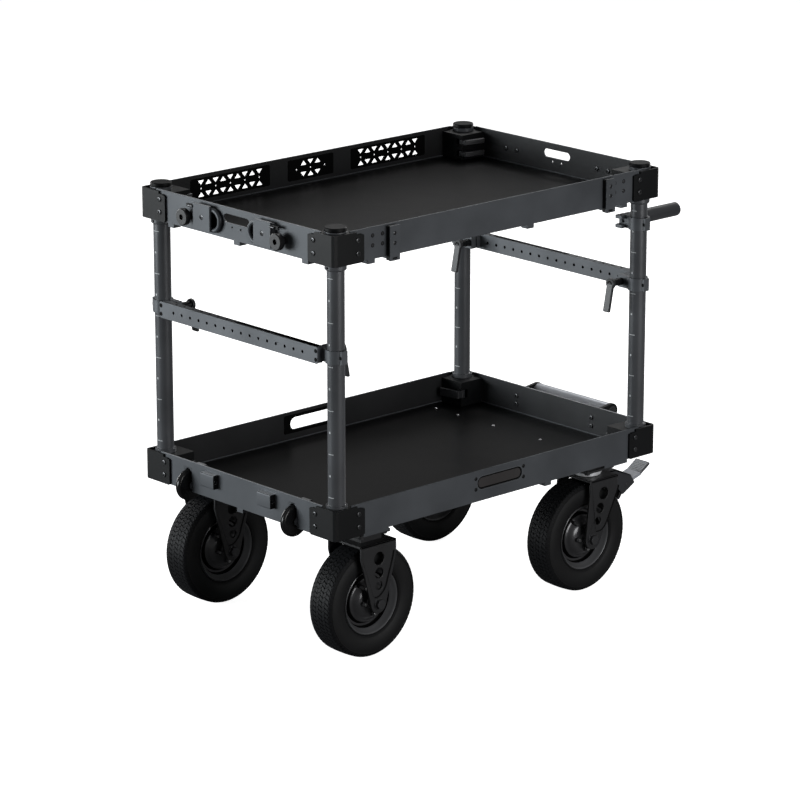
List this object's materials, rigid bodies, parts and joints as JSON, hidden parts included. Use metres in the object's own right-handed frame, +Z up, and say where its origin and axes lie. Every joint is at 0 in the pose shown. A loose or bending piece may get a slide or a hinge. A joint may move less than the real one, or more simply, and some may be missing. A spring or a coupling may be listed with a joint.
{
  "type": "camera cart",
  "caption": "Two-tray camera cart with round posts, sliding crossbars, push handles, rigid front wheels and braked swivel wheels.",
  "frame": {"origin": "on the ground, below the centre of the cart's overall box", "axes": "+X along the cart towards the push handles and swivel wheels, +Y across towards the wall with truss panels, +Z up"},
  "size_m": [1.1346, 0.6464, 0.98],
  "materials": {
    "wall": "black anodised, satin",
    "floor": "satin black",
    "block": "black anodised, matt",
    "post": "charcoal anodised",
    "crossbar": "black anodised, satin",
    "lever": "silver grey",
    "rubber": "matt black rubber",
    "tyre": "black rubber",
    "rim": "black paint, satin",
    "fork": "black powder coat",
    "zinc": "zinc plated"
  },
  "bodies": {
    "chassis": {"top_floor": "floor", "top_front_wall": "wall", "top_rear_wall": "wall", "top_near_wall": "wall", "top_far_wall": "wall", "top_corner_rear_far": "block", "top_corner_front_far": "block", "top_corner_front_near": "block", "top_corner_rear_near": "block", "bottom_floor": "floor", "bottom_front_wall": "wall", "bottom_rear_wall": "wall", "bottom_near_wall": "wall", "bottom_far_wall": "wall", "bottom_corner_rear_far": "block", "bottom_corner_front_far": "block", "bottom_corner_front_near": "block", "bottom_corner_rear_near": "block", "post_rear_far": "post", "post_front_far": "post", "post_front_near": "post", "post_rear_near": "post", "grab_handle": "post", "bumper_near": "rubber", "front_fork_near": "fork", "swivel_head_near": "zinc", "bumper_far": "rubber", "front_fork_far": "fork", "swivel_head_far": "zinc"},
    "front_wheel_near": {"front_tyre_near": "tyre", "front_rim_near": "rim"},
    "rear_wheel_near": {"rear_tyre_near": "tyre", "rear_rim_near": "rim"},
    "swivel_near": {"swivel_fork_near": "fork"},
    "brake_near": {"brake_pedal_near": "lever"},
    "roller_near": {"curb_roller_near": "rubber"},
    "push_near": {"push_handle_near": "post"},
    "front_wheel_far": {"front_tyre_far": "tyre", "front_rim_far": "rim"},
    "rear_wheel_far": {"rear_tyre_far": "tyre", "rear_rim_far": "rim"},
    "swivel_far": {"swivel_fork_far": "fork"},
    "brake_far": {"brake_pedal_far": "lever"},
    "roller_far": {"curb_roller_far": "rubber"},
    "push_far": {"push_handle_far": "post"},
    "front_bar": {"front_crossbar": "crossbar"},
    "front_clamp_near": {"front_clamp_lever_near": "lever"},
    "front_clamp_far": {"front_clamp_lever_far": "lever"},
    "rear_bar": {"rear_crossbar": "crossbar"},
    "rear_clamp_near": {"rear_clamp_lever_near": "lever"},
    "rear_clamp_far": {"rear_clamp_lever_far": "lever"},
    "top_cam_rear_far": {"top_cam_lever_rear_far": "lever"},
    "bottom_cam_rear_far": {"bottom_cam_lever_rear_far": "lever"},
    "top_cam_front_far": {"top_cam_lever_front_far": "lever"},
    "bottom_cam_front_far": {"bottom_cam_lever_front_far": "lever"},
    "top_cam_front_near": {"top_cam_lever_front_near": "lever"},
    "bottom_cam_front_near": {"bottom_cam_lever_front_near": "lever"},
    "top_cam_rear_near": {"top_cam_lever_rear_near": "lever"},
    "bottom_cam_rear_near": {"bottom_cam_lever_rear_near": "lever"}
  },
  "joints": [
    {"name": "front_wheel_spin_near", "type": "hinge", "parent": "chassis", "child": "front_wheel_near", "pos_m": [-0.39625, -0.24025, 0.127], "axis": [0, 1, 0], "continuous": true},
    {"name": "caster_swivel_near", "type": "hinge", "parent": "chassis", "child": "swivel_near", "pos_m": [0.29375, -0.24025, 0.26], "axis": [0, 0, 1], "continuous": true},
    {"name": "rear_wheel_spin_near", "type": "hinge", "parent": "swivel_near", "child": "rear_wheel_near", "pos_m": [0.25875, -0.24025, 0.127], "axis": [0, 1, 0], "continuous": true},
    {"name": "brake_press_near", "type": "hinge", "parent": "swivel_near", "child": "brake_near", "pos_m": [0.39875, -0.24025, 0.222], "axis": [0, 1, 0], "range_deg": [0, 14]},
    {"name": "roller_spin_near", "type": "hinge", "parent": "chassis", "child": "roller_near", "pos_m": [-0.53125, -0.17225, 0.3166], "axis": [0, 1, 0], "continuous": true},
    {"name": "push_handle_turn_near", "type": "hinge", "parent": "chassis", "child": "push_near", "pos_m": [0.40425, -0.28325, 0.841], "axis": [0, 0, 1], "range_deg": [-90, 90]},
    {"name": "front_wheel_spin_far", "type": "hinge", "parent": "chassis", "child": "front_wheel_far", "pos_m": [-0.39625, 0.24775, 0.127], "axis": [0, 1, 0], "continuous": true},
    {"name": "caster_swivel_far", "type": "hinge", "parent": "chassis", "child": "swivel_far", "pos_m": [0.29375, 0.24775, 0.26], "axis": [0, 0, 1], "continuous": true},
    {"name": "rear_wheel_spin_far", "type": "hinge", "parent": "swivel_far", "child": "rear_wheel_far", "pos_m": [0.25875, 0.24775, 0.127], "axis": [0, 1, 0], "continuous": true},
    {"name": "brake_press_far", "type": "hinge", "parent": "swivel_far", "child": "brake_far", "pos_m": [0.39875, 0.24775, 0.222], "axis": [0, 1, 0], "range_deg": [0, 14]},
    {"name": "roller_spin_far", "type": "hinge", "parent": "chassis", "child": "roller_far", "pos_m": [-0.53125, 0.17975, 0.3166], "axis": [0, 1, 0], "continuous": true},
    {"name": "push_handle_turn_far", "type": "hinge", "parent": "chassis", "child": "push_far", "pos_m": [0.40425, 0.29075, 0.841], "axis": [0, 0, 1], "range_deg": [-90, 90]},
    {"name": "front_crossbar_slide", "type": "slide", "parent": "chassis", "child": "front_bar", "axis": [0, 0, 1], "range_m": [-0.25, 0.1]},
    {"name": "front_clamp_turn_near", "type": "hinge", "parent": "front_bar", "child": "front_clamp_near", "pos_m": [-0.50675, -0.24625, 0.701], "axis": [1, 0, 0], "continuous": true},
    {"name": "front_clamp_turn_far", "type": "hinge", "parent": "front_bar", "child": "front_clamp_far", "pos_m": [-0.50675, 0.25375, 0.701], "axis": [1, 0, 0], "continuous": true},
    {"name": "rear_crossbar_slide", "type": "slide", "parent": "chassis", "child": "rear_bar", "axis": [0, 0, 1], "range_m": [-0.25, 0.05]},
    {"name": "rear_clamp_turn_near", "type": "hinge", "parent": "rear_bar", "child": "rear_clamp_near", "pos_m": [0.40425, -0.24625, 0.701], "axis": [1, 0, 0], "continuous": true},
    {"name": "rear_clamp_turn_far", "type": "hinge", "parent": "rear_bar", "child": "rear_clamp_far", "pos_m": [0.40425, 0.25375, 0.701], "axis": [1, 0, 0], "continuous": true},
    {"name": "top_cam_turn_rear_far", "type": "hinge", "parent": "chassis", "child": "top_cam_rear_far", "pos_m": [0.36905, 0.25555, 0.932], "axis": [0, 0, 1], "range_deg": [-90, 0]},
    {"name": "bottom_cam_turn_rear_far", "type": "hinge", "parent": "chassis", "child": "bottom_cam_rear_far", "pos_m": [0.36905, 0.25555, 0.3345], "axis": [0, 0, 1], "range_deg": [0, 90]},
    {"name": "top_cam_turn_front_far", "type": "hinge", "parent": "chassis", "child": "top_cam_front_far", "pos_m": [-0.47155, 0.25555, 0.932], "axis": [0, 0, 1], "range_deg": [-90, 0]},
    {"name": "bottom_cam_turn_front_far", "type": "hinge", "parent": "chassis", "child": "bottom_cam_front_far", "pos_m": [-0.47155, 0.25555, 0.3345], "axis": [0, 0, 1], "range_deg": [0, 90]},
    {"name": "top_cam_turn_front_near", "type": "hinge", "parent": "chassis", "child": "top_cam_front_near", "pos_m": [-0.47155, -0.24805, 0.932], "axis": [0, 0, 1], "range_deg": [-90, 0]},
    {"name": "bottom_cam_turn_front_near", "type": "hinge", "parent": "chassis", "child": "bottom_cam_front_near", "pos_m": [-0.47155, -0.24805, 0.3345], "axis": [0, 0, 1], "range_deg": [0, 90]},
    {"name": "top_cam_turn_rear_near", "type": "hinge", "parent": "chassis", "child": "top_cam_rear_near", "pos_m": [0.36905, -0.24805, 0.932], "axis": [0, 0, 1], "range_deg": [-90, 0]},
    {"name": "bottom_cam_turn_rear_near", "type": "hinge", "parent": "chassis", "child": "bottom_cam_rear_near", "pos_m": [0.36905, -0.24805, 0.3345], "axis": [0, 0, 1], "range_deg": [0, 90]}
  ]
}
